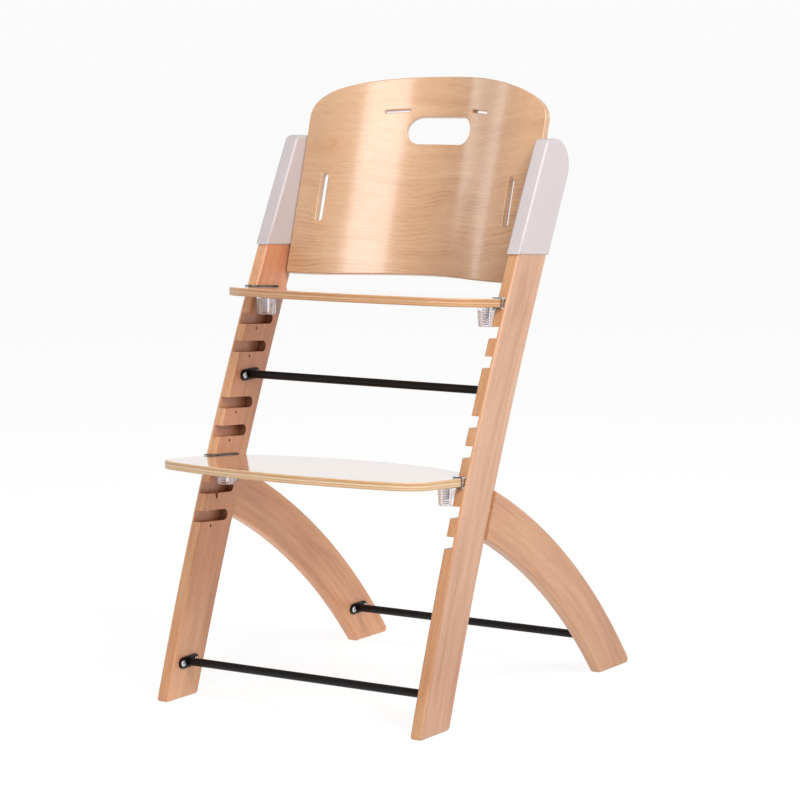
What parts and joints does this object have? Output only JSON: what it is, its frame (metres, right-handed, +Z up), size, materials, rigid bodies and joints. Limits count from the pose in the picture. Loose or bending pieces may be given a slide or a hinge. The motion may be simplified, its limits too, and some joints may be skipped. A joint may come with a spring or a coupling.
{
  "type": "baby high chair",
  "caption": "Wooden high chair with leaning grooved posts, curved rear legs, sliding seat and footrest boards, round crossbars and a curved plywood back.",
  "frame": {"origin": "centre of the footprint at floor level", "axes": "+Z up, the sitter faces -Y, +X to the right as seen from the front"},
  "size_m": [0.4606, 0.6196, 0.8908],
  "materials": {
    "beech": "satin lacquered solid beech",
    "moulded_ply": "gloss lacquered moulded plywood",
    "board_ply": "plywood with a glossy white top laminate",
    "cap_plastic": "satin pale pinkish grey",
    "black_coat": "black powder coat",
    "zinc": "bright zinc",
    "clear_clip": "clear",
    "clear_knob": "clear, ribbed",
    "dowel_wood": "plain beech dowel"
  },
  "bodies": {
    "frame": {"left_post": "beech", "right_post": "beech", "left_rear_leg": "beech", "right_rear_leg": "beech", "left_cap": "cap_plastic", "right_cap": "cap_plastic", "backrest": "moulded_ply", "front_crossbar": "black_coat", "middle_crossbar": "black_coat", "rear_crossbar": "black_coat", "front_bar_screw_right_1": "zinc", "front_bar_screw_right_2": "zinc", "front_bar_screw_left_1": "zinc", "front_bar_screw_left_2": "zinc", "middle_bar_screw_right_1": "zinc", "middle_bar_screw_right_2": "zinc", "middle_bar_screw_left_1": "zinc", "middle_bar_screw_left_2": "zinc", "rear_bar_screw_right_1": "zinc", "rear_bar_screw_right_2": "zinc", "rear_bar_screw_left_1": "zinc", "rear_bar_screw_left_2": "zinc", "backrest_screw_right_1": "zinc", "backrest_screw_left_1": "zinc", "backrest_screw_right_2": "zinc", "backrest_screw_left_2": "zinc", "leg_dowel_right_1": "dowel_wood", "leg_dowel_left_1": "dowel_wood", "leg_dowel_right_2": "dowel_wood", "leg_dowel_left_2": "dowel_wood"},
    "seat": {"seat_board": "board_ply", "seat_clip_right": "clear_clip", "seat_clip_left": "clear_clip", "seat_stud_right": "zinc", "seat_stud_left": "zinc"},
    "seat_knob_right": {"seat_knob_right": "clear_knob"},
    "seat_knob_left": {"seat_knob_left": "clear_knob"},
    "footrest": {"footrest_board": "board_ply", "footrest_clip_right": "clear_clip", "footrest_clip_left": "clear_clip", "footrest_stud_right": "zinc", "footrest_stud_left": "zinc"},
    "footrest_knob_right": {"footrest_knob_right": "clear_knob"},
    "footrest_knob_left": {"footrest_knob_left": "clear_knob"}
  },
  "joints": [
    {"name": "seat_slide", "type": "slide", "parent": "frame", "child": "seat", "axis": [0, -0.9971, 0.0764], "range_m": [0, 0.04]},
    {"name": "seat_knob_right_turn", "type": "hinge", "parent": "seat", "child": "seat_knob_right", "pos_m": [0.192, -0.03641, 0.55858], "axis": [0, 0.0764, 0.9971], "continuous": true},
    {"name": "seat_knob_left_turn", "type": "hinge", "parent": "seat", "child": "seat_knob_left", "pos_m": [-0.192, -0.03641, 0.55858], "axis": [0, 0.0764, 0.9971], "continuous": true},
    {"name": "footrest_slide", "type": "slide", "parent": "frame", "child": "footrest", "axis": [0, -0.9971, 0.0764], "range_m": [0, 0.04]},
    {"name": "footrest_knob_right_turn", "type": "hinge", "parent": "footrest", "child": "footrest_knob_right", "pos_m": [0.192, -0.14353, 0.31858], "axis": [0, 0.0764, 0.9971], "continuous": true},
    {"name": "footrest_knob_left_turn", "type": "hinge", "parent": "footrest", "child": "footrest_knob_left", "pos_m": [-0.192, -0.14353, 0.31858], "axis": [0, 0.0764, 0.9971], "continuous": true}
  ]
}
